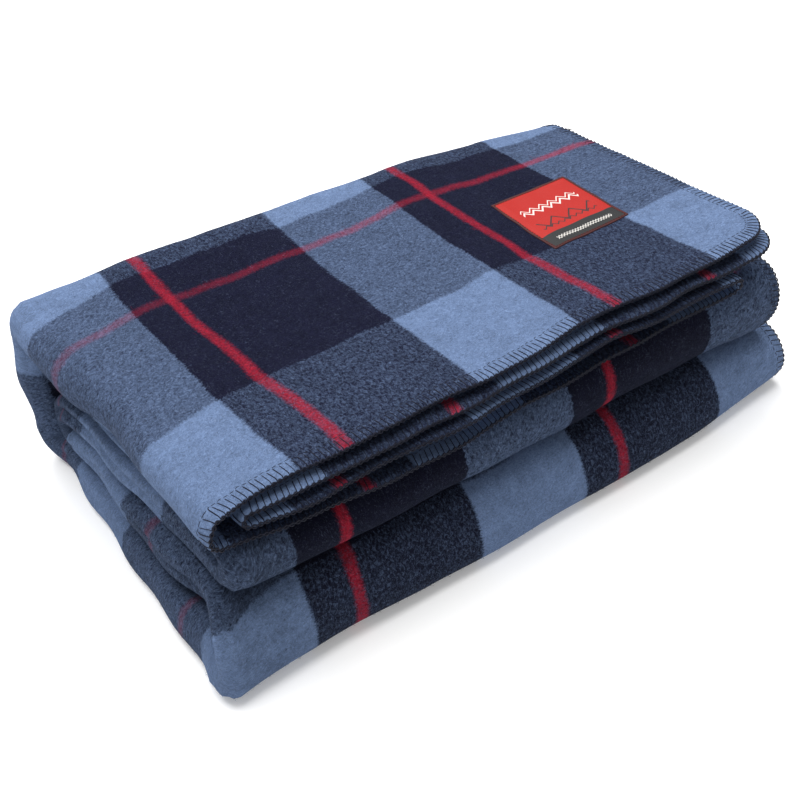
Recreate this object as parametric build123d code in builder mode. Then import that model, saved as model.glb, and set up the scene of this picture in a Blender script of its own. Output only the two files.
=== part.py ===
from build123d import *
import os

# A folded plaid wool blanket. Millimetres, +X along the long front edge, +Y to the
# back, +Z up. Origin: centre of the underside of the folded pack.

# Cloth and layers
cloth_t = 5.5            # thickness of the napped cloth
layer_pitch = 7.2        # centre of one layer to centre of the next
outer_n = 1.5 * layer_pitch     # centre of the pack to the centre of its outer layers
inner_n = 0.5 * layer_pitch     # centre of the pack to the centre of its inner layers
pack_t = 2 * outer_n + cloth_t

# Outline of the folded pack
left_x = -268.0          # long outer fold at the left end
inner_left_x = -243.0    # left end of the inner fold
stack_right_x = 268.0    # right edge of layer 1 in the lower folds
stack_second_x = 262.0   # right edge of layer 2 in the lower folds
stack_crease_x = 246.0   # right end of the crease that joins layers 3 and 4 there
top_right_x = 230.0      # the same three, for the top panel and the back turn
top_second_x = 235.0
top_crease_x = 191.0
top_front_y = -133.0     # front edge of the top panel
middle_front_y = -140.0  # front of the middle fold
bottom_front_y = -148.5  # front of the bottom fold
back_y = 148.5           # outside of the back turn
inner_turn_y = 116.0     # back of the turn hidden inside
far_edge_y = 108.0       # far edge of the blanket, at the end of the highest inner panel

# Heights of the centre of each panel, counted along the folded strip from the top
panel_gap = 1.0
top_gap = 0.5
z_bottom = pack_t / 2
bottom_fold_r = 25.45
z_third = z_bottom + 2 * bottom_fold_r
tight_r = (pack_t + panel_gap) / 2
z_fourth = z_third + 2 * tight_r
z_fifth = z_fourth + 2 * tight_r
z_top = z_fifth + pack_t + top_gap
pack_h = z_top + pack_t / 2

# Back turn
turn_r = 30.0            # centre radius of its two corners
split_gap = 0.3          # degrees left open at each fold line between bodies
wall_y = back_y - pack_t / 2
turn_y = wall_y - turn_r
low_turn_z = z_bottom + turn_r
high_turn_z = z_top - turn_r

# Overlocked edge
hem_w = 11.0             # bite of the overlock stitch
hem_t = 0.5              # thickness of thread on each face of the cloth
corner_r = 28.0          # rounded corners of the blanket

# Woven label
label_x = 123.0
label_y = -9.0
label_size = 76.0
label_t = 0.7
label_stitch_w = 1.2
label_stitch_t = 0.4
label_inset = 2.0


def half_ring(x, n, radius, thick, side):
    """A U of cloth in section, opening away from side, which is -1 for left and 1 for right."""
    with BuildSketch(mode=Mode.PRIVATE) as ring:
        with Locations((x, n)):
            Circle(radius + thick / 2)
            Circle(radius - thick / 2, mode=Mode.SUBTRACT)
        with Locations((x - side * radius * 2, n)):
            Rectangle(radius * 4, radius * 4, mode=Mode.SUBTRACT)
    return ring.sketch


def run(x_from, x_to, n, thick):
    """One straight layer of cloth in section."""
    with BuildSketch(mode=Mode.PRIVATE) as layer:
        with Locations(((x_from + x_to) / 2, n)):
            Rectangle(abs(x_to - x_from), thick)
    return layer.sketch


def section(ends, thick, hemmed):
    """The four layers of one panel in section, with the outside of the blanket at the top.
    Layer 1 wraps round the left end into layer 4, which a crease at the right joins to layer 3,
    and an inner fold at the left joins that to layer 2. Hemmed narrows the two free edges."""
    first_x, second_x, crease_x = ends
    wrap_x = left_x + outer_n + cloth_t / 2
    inner_x = inner_left_x + inner_n + cloth_t / 2
    crease_centre_x = crease_x - inner_n - cloth_t / 2
    trim = hem_w if hemmed else 0
    with BuildSketch(mode=Mode.PRIVATE) as four:
        add(run(wrap_x, first_x - trim, outer_n, thick))
        add(half_ring(wrap_x, 0, outer_n, thick, -1))
        add(run(wrap_x, crease_centre_x, -outer_n, thick))
        add(half_ring(crease_centre_x, -layer_pitch, inner_n, thick, 1))
        add(run(inner_x, crease_centre_x, -inner_n, thick))
        add(half_ring(inner_x, 0, inner_n, thick, -1))
        add(run(inner_x, second_x - trim, inner_n, thick))
        if hemmed:
            add(run(first_x - trim, first_x - hem_t, outer_n, thick - 2 * hem_t))
            add(run(second_x - trim, second_x - hem_t, inner_n, thick - 2 * hem_t))
    return four.sketch


def edge_hem(edge_x, n):
    """Overlock thread in section round the free right edge of the layer at n."""
    with BuildSketch(mode=Mode.PRIVATE) as clip:
        add(run(edge_x - hem_w, edge_x, n, cloth_t))
        add(run(edge_x - hem_w, edge_x - hem_t, n, cloth_t - 2 * hem_t), mode=Mode.SUBTRACT)
    return clip.sketch


def outside_up(y, z):
    """Section plane of a panel whose outer face looks up."""
    return Plane(origin=(0, y, z), x_dir=(1, 0, 0), z_dir=(0, -1, 0))


def outside_down(y, z):
    """Section plane of a panel whose outer face looks down."""
    return Plane(origin=(0, y, z), x_dir=(1, 0, 0), z_dir=(0, 1, 0))


def outside_back(y, z):
    """Section plane of the back turn, whose outer face looks to the back."""
    return Plane(origin=(0, y, z), x_dir=(1, 0, 0), z_dir=(0, 0, 1))


bottom_fold_y = bottom_front_y + pack_t / 2 + bottom_fold_r
middle_fold_y = middle_front_y + pack_t / 2 + tight_r
inner_fold_y = inner_turn_y - pack_t / 2 - tight_r
half_turn = 45.0 - split_gap


def lower_folds(shape):
    """The lower part of the strip: bottom panel, bottom fold, third panel, inner turn,
    fourth panel, middle fold, and the fifth panel up to the far hem."""
    with BuildPart(mode=Mode.PRIVATE) as strip:
        with BuildSketch(outside_down(turn_y, z_bottom)):
            add(shape)
        revolve(axis=Axis((0, turn_y, low_turn_z), (1, 0, 0)), revolution_arc=half_turn)
        with BuildSketch(outside_down(bottom_fold_y, z_bottom)):
            add(shape)
        extrude(amount=turn_y - bottom_fold_y)
        with BuildSketch(outside_down(bottom_fold_y, z_bottom)):
            add(shape)
        revolve(axis=Axis((0, bottom_fold_y, z_bottom + bottom_fold_r), (-1, 0, 0)), revolution_arc=180)
        with BuildSketch(outside_up(inner_fold_y, z_third)):
            add(shape)
        extrude(amount=inner_fold_y - bottom_fold_y)
        with BuildSketch(outside_up(inner_fold_y, z_third)):
            add(shape)
        revolve(axis=Axis((0, inner_fold_y, z_third + tight_r), (1, 0, 0)), revolution_arc=180)
        with BuildSketch(outside_down(middle_fold_y, z_fourth)):
            add(shape)
        extrude(amount=inner_fold_y - middle_fold_y)
        with BuildSketch(outside_down(middle_fold_y, z_fourth)):
            add(shape)
        revolve(axis=Axis((0, middle_fold_y, z_fourth + tight_r), (-1, 0, 0)), revolution_arc=180)
        with BuildSketch(outside_up(far_edge_y - hem_w, z_fifth)):
            add(shape)
        extrude(amount=far_edge_y - hem_w - middle_fold_y)
    return strip.part


def back_turn(shape):
    """The strip where it turns down the back, between the two back fold lines."""
    with BuildPart(mode=Mode.PRIVATE) as strip:
        with BuildSketch(outside_back(wall_y, low_turn_z)):
            add(shape)
        extrude(amount=high_turn_z - low_turn_z)
        with BuildSketch(outside_back(wall_y, low_turn_z)):
            add(shape)
        revolve(axis=Axis((0, turn_y, low_turn_z), (-1, 0, 0)), revolution_arc=half_turn)
        with BuildSketch(outside_back(wall_y, high_turn_z)):
            add(shape)
        revolve(axis=Axis((0, turn_y, high_turn_z), (1, 0, 0)), revolution_arc=half_turn)
    return strip.part


def top_panel(shape):
    """The strip from the high fold line of the back turn forward to the front hem."""
    with BuildPart(mode=Mode.PRIVATE) as strip:
        with BuildSketch(outside_up(turn_y, z_top)):
            add(shape)
        extrude(amount=turn_y - top_front_y - hem_w)
        with BuildSketch(outside_up(turn_y, z_top)):
            add(shape)
        revolve(axis=Axis((0, turn_y, high_turn_z), (-1, 0, 0)), revolution_arc=half_turn)
    return strip.part


def corner_waste(corner_x, n):
    """What is cut from the square front right corner of one layer to round it."""
    with BuildPart(mode=Mode.PRIVATE) as waste:
        with BuildSketch(Plane.XY.offset(z_top + n - layer_pitch / 2)):
            with Locations((corner_x - corner_r / 2 + 1, top_front_y + corner_r / 2 - 1)):
                Rectangle(corner_r + 2, corner_r + 2)
            with Locations((corner_x - corner_r, top_front_y + corner_r)):
                Circle(corner_r, mode=Mode.SUBTRACT)
        extrude(amount=layer_pitch)
    return waste.part


stack_ends = (stack_right_x, stack_second_x, stack_crease_x)
top_ends = (top_right_x, top_second_x, top_crease_x)
core_t = cloth_t - 2 * hem_t
first_corner = corner_waste(top_right_x, outer_n)
second_corner = corner_waste(top_second_x, inner_n)

# Cloth, split at the two back fold lines into the parts that move
with BuildPart() as cloth_lower_folds:
    add(lower_folds(section(stack_ends, cloth_t, True)))
    with BuildSketch(outside_up(far_edge_y - hem_t, z_fifth)):
        add(section(stack_ends, core_t, False))
    extrude(amount=hem_w - hem_t)
cloth_lower_folds.part.label = "cloth_lower_folds"

with BuildPart() as cloth_back_turn:
    add(back_turn(section(top_ends, cloth_t, True)))
cloth_back_turn.part.label = "cloth_back_turn"

with BuildPart() as cloth_top_panel:
    add(top_panel(section(top_ends, cloth_t, True)))
    with BuildSketch(outside_up(top_front_y + hem_w, z_top)):
        add(section(top_ends, core_t, False))
    extrude(amount=hem_w - hem_t)
    add(first_corner, mode=Mode.SUBTRACT)
    add(second_corner, mode=Mode.SUBTRACT)
cloth_top_panel.part.label = "cloth_top_panel"

# Overlock thread round the four edges of the cloth
with BuildPart() as thread_front_edge:
    with BuildSketch(outside_up(top_front_y + hem_w, z_top)):
        add(section(top_ends, cloth_t, False))
    extrude(amount=hem_w)
    with BuildSketch(outside_up(top_front_y + hem_w, z_top)):
        add(section(top_ends, core_t, False))
    extrude(amount=hem_w - hem_t, mode=Mode.SUBTRACT)
    add(first_corner, mode=Mode.SUBTRACT)
    add(second_corner, mode=Mode.SUBTRACT)
thread_front_edge.part.label = "thread_front_edge"

with BuildPart() as thread_far_edge:
    with BuildSketch(outside_up(far_edge_y, z_fifth)):
        add(section(stack_ends, cloth_t, False))
    extrude(amount=hem_w)
    with BuildSketch(outside_up(far_edge_y - hem_t, z_fifth)):
        add(section(stack_ends, core_t, False))
    extrude(amount=hem_w - hem_t, mode=Mode.SUBTRACT)
thread_far_edge.part.label = "thread_far_edge"

with BuildPart() as thread_first_lower:
    add(lower_folds(edge_hem(stack_right_x, outer_n)))
thread_first_lower.part.label = "thread_first_lower"

with BuildPart() as thread_second_lower:
    add(lower_folds(edge_hem(stack_second_x, inner_n)))
thread_second_lower.part.label = "thread_second_lower"

with BuildPart() as thread_first_back:
    add(back_turn(edge_hem(top_right_x, outer_n)))
thread_first_back.part.label = "thread_first_back"

with BuildPart() as thread_second_back:
    add(back_turn(edge_hem(top_second_x, inner_n)))
thread_second_back.part.label = "thread_second_back"

with BuildPart() as thread_first_top:
    add(top_panel(edge_hem(top_right_x, outer_n)))
    add(first_corner, mode=Mode.SUBTRACT)
thread_first_top.part.label = "thread_first_top"

with BuildPart() as thread_second_top:
    add(top_panel(edge_hem(top_second_x, inner_n)))
    add(second_corner, mode=Mode.SUBTRACT)
thread_second_top.part.label = "thread_second_top"

# Woven label and the thread that holds it down
with BuildPart() as label:
    with BuildSketch(Plane.XY.offset(pack_h)):
        with Locations((label_x, label_y)):
            RectangleRounded(label_size, label_size, 1.0)
    extrude(amount=label_t)
label.part.label = "label"

with BuildPart() as label_thread:
    with BuildSketch(Plane.XY.offset(pack_h + label_t)):
        with Locations((label_x, label_y)):
            Rectangle(label_size - 2 * label_inset, label_size - 2 * label_inset)
            Rectangle(
                label_size - 2 * label_inset - 2 * label_stitch_w,
                label_size - 2 * label_inset - 2 * label_stitch_w,
                mode=Mode.SUBTRACT,
            )
    extrude(amount=label_stitch_t)
label_thread.part.label = "label_thread"

os.makedirs("parts", exist_ok=True)
for piece in (
    cloth_lower_folds,
    cloth_back_turn,
    cloth_top_panel,
    thread_front_edge,
    thread_far_edge,
    thread_first_lower,
    thread_second_lower,
    thread_first_back,
    thread_second_back,
    thread_first_top,
    thread_second_top,
    label,
    label_thread,
):
    export_step(piece.part, "parts/" + piece.part.label + ".step")
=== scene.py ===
"""A folded plaid wool blanket: the looks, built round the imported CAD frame.

The blanket is one woven sheet, folded in four across its width and then folded over
and over along its length. Here the sheet is a grid of points: column i runs across
the width (u, from the free right edge of layer 1 to the free right edge of layer 2)
and row j runs along the folded strip (v, from the front hem to the far hem).
Metres, in the frame of the CAD model.
"""

import math

import bpy
import numpy as np
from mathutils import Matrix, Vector
from mathutils.kdtree import KDTree


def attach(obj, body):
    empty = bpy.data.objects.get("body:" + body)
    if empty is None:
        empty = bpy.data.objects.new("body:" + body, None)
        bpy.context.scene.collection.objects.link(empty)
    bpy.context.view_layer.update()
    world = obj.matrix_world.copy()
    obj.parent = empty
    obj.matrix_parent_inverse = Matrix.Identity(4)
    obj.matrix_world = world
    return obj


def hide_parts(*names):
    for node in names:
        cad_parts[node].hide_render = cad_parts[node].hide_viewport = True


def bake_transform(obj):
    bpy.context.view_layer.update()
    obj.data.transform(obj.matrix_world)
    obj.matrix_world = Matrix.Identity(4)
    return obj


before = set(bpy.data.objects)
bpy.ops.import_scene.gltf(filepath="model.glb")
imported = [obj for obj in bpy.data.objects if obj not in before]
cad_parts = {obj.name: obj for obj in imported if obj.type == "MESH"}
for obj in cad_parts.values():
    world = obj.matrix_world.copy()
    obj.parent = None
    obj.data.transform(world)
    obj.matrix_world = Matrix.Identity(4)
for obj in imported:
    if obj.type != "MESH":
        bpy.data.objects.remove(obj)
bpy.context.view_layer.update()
MM = 0.001
rng = np.random.default_rng(7)

# bands of the plaid, in metres: first light band at the edge, repeat, dark band, where
# the red line lies in the dark band, and the red line's width
WARP = (0.064, 0.2380, 0.140, 0.103, 0.0082)
WEFT = (0.085, 0.2385, 0.147, 0.111, 0.0068)

# ---------------------------------------------------------------- dimensions, in mm
CLOTH_T = 5.0            # thickness of the napped cloth
PITCH = 7.2              # one layer's middle to the next
OUTER_N = 1.5 * PITCH
INNER_N = 0.5 * PITCH
HALF_PACK = 13.4         # half the thickness of one folded panel
HEM_W = 10.0             # bite of the overlock stitch
HEM_SHARE = 0.70         # the cloth's thickness in the stitch, as a share
RIM_R = 1.8              # rounding of the cloth's very edge
CORNER_R = 28.0          # rounded corner of the blanket
LABEL_X, LABEL_Y, LABEL_SIZE = 123.0, -9.0, 76.0
STITCH_PITCH = 4.4       # overlock stitches along the edge
BAR_R, CHAIN_R, NEEDLE_R = 0.34, 0.55, 0.28     # radii of the overlock's threads
SEWING_R = 0.26          # thread round the label
FIBRE_RADII = (0.075, 0.065, 0.03)              # loose fibre, from root to tip
FIBRE_LENGTH = (1.6, 4.6)

# the strip in section, before it settles
Z_BOTTOM = HALF_PACK
R_BOTTOM = 16.7
Z_THIRD = Z_BOTTOM + 2 * R_BOTTOM
R_INNER = 13.7
Z_FOURTH = Z_THIRD + 2 * R_INNER
R_MIDDLE = 14.4
Z_FIFTH = Z_FOURTH + 2 * R_MIDDLE
Z_TOP = Z_FIFTH + 27.2
TOP_Z = Z_TOP + HALF_PACK
BACK_Y = 151.0
WALL_Y = BACK_Y - HALF_PACK
TURN_R = 17.0
TURN_Y = WALL_Y - TURN_R
LOW_TURN_Z = Z_BOTTOM + TURN_R
HIGH_TURN_Z = Z_TOP - TURN_R
BOTTOM_FRONT_Y = -142.0
MIDDLE_FRONT_Y = -137.0
INNER_BACK_Y = 117.0
FAR_EDGE_Y = 104.0
BOTTOM_FOLD_Y = BOTTOM_FRONT_Y + HALF_PACK + R_BOTTOM
MIDDLE_FOLD_Y = MIDDLE_FRONT_Y + HALF_PACK + R_MIDDLE
INNER_FOLD_Y = INNER_BACK_Y - HALF_PACK - R_INNER


def smooth(t):
    """Smoothstep of t, from 0 at 0 to 1 at 1."""
    t = np.clip(t, 0.0, 1.0)
    return t * t * (3 - 2 * t)


def unit(vectors):
    """The vectors, each scaled to a length of 1."""
    return vectors / np.maximum(np.linalg.norm(vectors, axis=-1, keepdims=True), 1e-12)


def curve(x, knots):
    """A smooth curve through a few (x, value) knots."""
    xs = np.array([k[0] for k in knots], float)
    ys = np.array([k[1] for k in knots], float)
    slope = np.gradient(ys, xs)
    x = np.clip(x, xs[0], xs[-1])
    k = np.clip(np.searchsorted(xs, x, side="right") - 1, 0, len(xs) - 2)
    h = xs[k + 1] - xs[k]
    t = (x - xs[k]) / h
    a = 2 * t**3 - 3 * t**2 + 1
    b = t**3 - 2 * t**2 + t
    c = -2 * t**3 + 3 * t**2
    d = t**3 - t**2
    return a * ys[k] + b * h * slope[k] + c * ys[k + 1] + d * h * slope[k + 1]


class Ripple:
    """Smooth, repeatable unevenness: a sum of sine waves in random directions."""

    def __init__(self, size, waves=14, dims=3):
        length = size * rng.uniform(0.6, 1.8, waves)
        way = unit(rng.normal(size=(waves, dims)))
        self.k = way * (2 * math.pi / length)[:, None]
        self.phase = rng.uniform(0, 2 * math.pi, waves)
        self.gain = 1.4 / math.sqrt(waves)

    def __call__(self, *where):
        total = 0
        for k, phase in zip(self.k, self.phase):
            total = total + np.sin(sum(a * b for a, b in zip(k, where)) + phase)
        return total * self.gain


# ------------------------------------------------------------- the strip in section
# Each stretch of the strip: name, number of rows, and its line in the YZ plane. Rows
# carry a stretch number and a share along it, so that ends and edges can vary.
def line_rows(n, ends=(1.0, 1.0)):
    """n shares from 0 to 1, closer together at an end whose number is over 1."""
    t = np.linspace(0, 1, n + 1)
    a, b = ends
    lo = t**a
    hi = 1 - (1 - t) ** b
    return lo * (1 - smooth(t)) + hi * smooth(t)


STRETCHES = [
    ("top", line_rows(62, (1.5, 1.0))),
    ("high", line_rows(14)),
    ("wall", line_rows(20)),
    ("low", line_rows(14)),
    ("bottom", line_rows(30, (1.0, 1.2))),
    ("front_low", line_rows(34)),
    ("third", line_rows(26, (1.2, 1.2))),
    ("inner", line_rows(16)),
    ("fourth", line_rows(26, (1.2, 1.2))),
    ("front_mid", line_rows(30)),
    ("fifth", line_rows(34, (1.2, 1.5))),
]


# Round stretches: centre in Y and Z, radius, first and last angle in degrees from +Y, and
# 1 where the blanket's outer face looks away from the centre.
ARCS = {
    "high": (TURN_Y, HIGH_TURN_Z, TURN_R, 90, 0, 1.0),
    "low": (TURN_Y, LOW_TURN_Z, TURN_R, 0, -90, 1.0),
    "front_low": (BOTTOM_FOLD_Y, Z_BOTTOM + R_BOTTOM, R_BOTTOM, 270, 90, 1.0),
    "inner": (INNER_FOLD_Y, Z_THIRD + R_INNER, R_INNER, -90, 90, -1.0),
    "front_mid": (MIDDLE_FOLD_Y, Z_FOURTH + R_MIDDLE, R_MIDDLE, 270, 90, 1.0),
}


def strip_line(name, t, front_y, far_y):
    """Middle line of the strip, in section: points and normals at the shares t."""
    if name in ARCS:
        y, z, radius, start, end, outward = ARCS[name]
        a = np.radians(start + (end - start) * t)
        way = np.stack([np.cos(a), np.sin(a)], -1)
        return np.array([y, z]) + radius * way, way * outward
    if name == "wall":
        z = HIGH_TURN_Z + (LOW_TURN_Z - HIGH_TURN_Z) * t
        return np.stack([np.full_like(z, WALL_Y), z], -1), np.stack([0 * z + 1, 0 * z], -1)
    # level stretches: first and last y, height, and which way the outer face looks
    y0, y1, z, up = {
        "top": (front_y, TURN_Y, Z_TOP, 1.0),
        "bottom": (TURN_Y, BOTTOM_FOLD_Y, Z_BOTTOM, -1.0),
        "third": (BOTTOM_FOLD_Y, INNER_FOLD_Y, Z_THIRD, 1.0),
        "fourth": (INNER_FOLD_Y, MIDDLE_FOLD_Y, Z_FOURTH, -1.0),
        "fifth": (MIDDLE_FOLD_Y, far_y, Z_FIFTH, 1.0),
    }[name]
    y = y0 + (y1 - y0) * t
    return np.stack([y, np.full_like(y, z)], -1), np.stack([0 * y, np.full_like(y, up)], -1)


# Ends of the layers along X at the start of each stretch, and at the end of the last:
# right edge of layer 1, right edge of layer 2, right crease of layers 3 and 4,
# long outer fold at the left, inner fold at the left.
ENDS = {
    "top": (231, 237, 190, -266, -241),
    "high": (227, 233, 194, -270, -246),
    "wall": (233, 238, 197, -269, -247),
    "low": (245, 247, 210, -268.5, -247),
    "bottom": (248, 250, 215, -265, -243),
    "front_low": (263, 257, 242, -282, -259),
    "third": (262, 256, 241, -270, -250),
    "inner": (262, 256, 240, -262, -242),
    "fourth": (261, 255, 240, -261, -240),
    "front_mid": (246, 241, 234, -257, -236),
    "fifth": (247, 242, 234, -257, -236),
    "end": (248, 243, 232, -258, -238),
}

rows = []                # (stretch name, share, the five ends)
first_row = {}
names = [s[0] for s in STRETCHES] + ["end"]
for index, (name, shares) in enumerate(STRETCHES):
    first_row[name] = len(rows)
    here, there = np.array(ENDS[names[index]], float), np.array(ENDS[names[index + 1]], float)
    last = index == len(STRETCHES) - 1
    for t in shares if last else shares[:-1]:
        rows.append((name, t, here + (there - here) * (t**3 if name == "bottom" else t)))
ROW_COUNT = len(rows)
row_name = [r[0] for r in rows]
row_high, row_wall, row_low, row_bottom = [first_row[k] for k in ("high", "wall", "low", "bottom")]
row_wall_middle = (row_wall + row_low) // 2
row_share = np.array([r[1] for r in rows])
row_ends = np.array([r[2] for r in rows])


# -------------------------------------------------------------- the layers in section
corner_steps = CORNER_R * (1 - np.cos(np.linspace(0, math.pi / 2, 12)))
SEGMENTS = (("first", 112), ("wrap", 15), ("fourth", 61), ("crease", 11), ("third", 57), ("inner", 11),
            ("second", 71))
column_kinds = [("first_edge", d) for d in corner_steps]      # (segment, share or distance)
for kind, count in SEGMENTS:
    column_kinds += [(kind, t) for t in np.linspace(0, 1, count)[1:]]
column_kinds += [("second_edge", d) for d in corner_steps[::-1][1:]]
COL_COUNT = len(column_kinds)
col_kind = np.array([c[0] for c in column_kinds])
col_value = np.array([c[1] for c in column_kinds])


def half_loop(t, reach, height, side, pinch):
    """(x, n) round the end of a fold: t from 0 to 1 goes from +height to -height."""
    a = math.pi / 2 - math.pi * t
    c = np.abs(np.cos(a)) ** pinch
    return side * reach * c, height * np.sin(a)


def profile(ends):
    """(x, n) of every column for rows with these ends; arrays rows by columns."""
    first_x, second_x, crease_x, left, inner_left = [ends[:, k, None] for k in range(5)]
    value = col_value[None, :]
    shape = (len(ends), COL_COUNT)
    x = np.zeros(shape)
    n = np.zeros(shape)
    wrap_reach, inner_reach, crease_reach = 13.0, 7.0, 6.0
    wrap_x, inner_x, crease_c = left + wrap_reach, inner_left + inner_reach, crease_x - crease_reach

    def put(kind, new_x, new_n):
        at = col_kind == kind
        x[:, at] = np.broadcast_to(new_x, shape)[:, at]
        n[:, at] = np.broadcast_to(new_n, shape)[:, at]

    put("first_edge", first_x - value, OUTER_N)
    put("first", first_x - CORNER_R + (wrap_x - first_x + CORNER_R) * value, OUTER_N)
    loop_x, loop_n = half_loop(value, wrap_reach, OUTER_N, -1, 1.25)
    put("wrap", wrap_x + loop_x, loop_n)
    put("fourth", wrap_x + (crease_c - wrap_x) * value, -OUTER_N)
    loop_x, loop_n = half_loop(value, crease_reach, INNER_N, 1, 1.0)
    put("crease", crease_c + loop_x, -PITCH - loop_n)
    put("third", crease_c + (inner_x - crease_c) * value, -INNER_N)
    loop_x, loop_n = half_loop(value, inner_reach, INNER_N, -1, 1.0)
    put("inner", inner_x + loop_x, -loop_n)
    put("second", inner_x + (second_x - CORNER_R - inner_x) * value, INNER_N)
    put("second_edge", second_x - value, INNER_N)
    return x, n


X, NOFF = profile(row_ends)
# the long folds at the left have a groove along them, this deep in mm at each stretch
GROOVE = {"top": 0, "low": 0, "bottom": 5, "front_low": 1.5, "third": 9, "inner": 4, "fourth": 9,
          "front_mid": 2, "fifth": 9}
groove_rows = np.interp(np.arange(ROW_COUNT), [first_row[k] for k in GROOVE], list(GROOVE.values()))
groove = np.where(col_kind == "wrap", np.exp(-((col_value - 0.55) * math.pi / 0.45) ** 2), 0)
X = X + groove_rows[:, None] * groove[None, :]
# distance of each column from its free edge, for the rounded corners
edge_gap = np.where(np.isin(col_kind, ["first_edge", "second_edge"]), col_value, CORNER_R)
corner_back = CORNER_R - np.sqrt(np.maximum(CORNER_R**2 - (CORNER_R - edge_gap) ** 2, 0))
in_edge = edge_gap < CORNER_R

# --- where the front hem of each layer lies
layer = np.select(
    [np.isin(col_kind, ["first_edge", "first"]), col_kind == "wrap", col_kind == "fourth",
     col_kind == "crease", col_kind == "third", col_kind == "inner"],
    [1.0 + 0 * col_value, 1.0 + 3 * smooth(col_value), 4.0 + 0 * col_value,
     4.0 - col_value, 3.0 + 0 * col_value, 3.0 - smooth(col_value)], 2.0)
front_step = np.interp(layer, [1, 2, 3, 4], [0.0, -6.5, -9.0, -7.0])
front_step = front_step - 4 * smooth(layer - 3) * smooth((-70 - X[0]) / 60)
hem_wave = Ripple(90, dims=2)
far_wave = Ripple(120, dims=2)
x_front = X[0]
first_front = curve(x_front, [(-268, -129), (-240, -123), (-190, -123), (-130, -127), (-20, -129),
                              (50, -128), (130, -132.5), (231, -130)])
front_base = first_front + front_step * smooth((x_front + 262) / 60) + 0.9 * hem_wave(x_front, layer * 40)
front_y = front_base + np.where(in_edge, corner_back, 0)
far_base = FAR_EDGE_Y + np.interp(layer, [1, 2, 3, 4], [0, -3, -2, 2]) + 1.2 * far_wave(X[-1], layer * 40)
far_y = far_base - np.where(in_edge, corner_back, 0)

Y = np.zeros_like(X)
Z = np.zeros_like(X)
for j in range(ROW_COUNT):
    share = np.full(COL_COUNT, row_share[j])
    points, normals = strip_line(row_name[j], share, front_y, far_y)
    Y[j] = points[:, 0] + NOFF[j] * normals[:, 0]
    Z[j] = points[:, 1] + NOFF[j] * normals[:, 1]

# ------------------------------------------------------------------ settling of the pack
# Heights that the faces between the panels settle to, by x, at the front and the back.
SETTLE_X = (-268, -150, 0, 130, 268)
LOW_FRONT, LOW_BACK = (75, 67, 60, 58, 50), (66, 64, 60, 56, 50)
MID_FRONT, MID_BACK = (121, 114, 116.5, 121, 122), (124, 121, 118, 112, 103)
TOP_FRONT, TOP_BACK = (152.5, 158, 166.5, 166, 170), (164.5, 163, 158, 148.5, 133)


def level(x, y, front, back):
    """A height that varies smoothly with x between front and back rows of knots."""
    f = curve(x, list(zip(SETTLE_X, front)))
    b = curve(x, list(zip(SETTLE_X, back)))
    s = np.clip((y + 140) / 280, -0.1, 1.1)
    return f + (b - f) * s


def settle(x, y, z):
    """Moves points of the neatly folded strip to where the settled blanket has them."""
    low = level(x, y, LOW_FRONT, LOW_BACK)
    mid = level(x, y, MID_FRONT, MID_BACK)
    top = level(x, y, TOP_FRONT, TOP_BACK)
    gap_a, gap_b = Z_THIRD + HALF_PACK, Z_FIFTH + HALF_PACK
    # layers of the top panel: the lowest lies on the panel under it and the rest lift off
    s = np.clip((z - gap_b) / (TOP_Z - gap_b), 0, 1.05)
    lift = curve(x, [(-268, 0), (-215, 0.1), (-110, 0.9), (40, 1), (130, 0.7), (190, 0.25), (268, 0)])
    lift = lift * smooth((60 - y) / 190)
    lifted = np.interp(s, [0, 0.1, 0.37, 0.63, 0.9, 1.05], [0, 0.07, 0.50, 0.71, 0.93, 1.03])
    s = s + (lifted - s) * lift
    return np.where(z < gap_a, z / gap_a * low,
                    np.where(z < gap_b, low + (z - gap_a) / (gap_b - gap_a) * (mid - low),
                             mid + s * (top - mid)))


bulge = Ripple(260)
uneven = Ripple(95)
fine = Ripple(34)
end_wave = Ripple(85)

Z1 = settle(X, Y, Z)
# the lower fold leans out at its foot
foot = curve(Z1, [(-5, 18), (8, 18), (24, 12), (45, 4), (64, 0), (90, 0)]) * smooth((-50 - Y) / 70)
foot = foot * curve(X, [(-275, 1.3), (-240, 1.0), (-200, 0.8), (-60, 1.0), (60, 1.1), (160, 0.9),
                        (268, 0.1)])
Y1 = Y - foot
# the back leans in towards the right, where the pack is thinner
lean = curve(X, [(-268, 0), (-60, 2), (60, 7), (150, 14), (250, 18)])
Y1 = Y1 - lean * smooth((Y - 20) / 120) * smooth((Z1 + 10) / 60)
# broad unevenness that all the layers share, then a little of each layer's own
free = smooth(Z1 / 18)
Y2 = Y1 + free * 1.6 * bulge(X, Y1, Z1)
Z2 = Z1 + free * (1.1 * bulge(X + 300, Y1, Z1) + 0.5 * uneven(X, Y1, Z1))
own = uneven(X, Y1 + 500 * layer[None, :], Z1)
own_fine = fine(X, Y1 + 300 * layer[None, :], Z1)
X2 = X + end_wave(0 * X, Y1, Z1) * 2.2 * smooth((-235 - X) / 30) + 0.35 * own
Z2 = Z2 + free * (0.45 * own + 0.22 * own_fine)
Y2 = Y2 + 0.35 * own

POINTS = np.stack([X2, Y2, Z2], -1) * MM  # rows, columns, xyz: the middle of the cloth


def grid_normals(p):
    """Unit normals of the grid, on the blanket's outer face."""
    du = np.gradient(p, axis=1)
    dv = np.gradient(p, axis=0)
    return unit(np.cross(dv, du))


NORMALS = grid_normals(POINTS)
middle = (row_high // 2, 60)
if NORMALS[middle][2] < 0:
    NORMALS = -NORMALS

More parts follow.
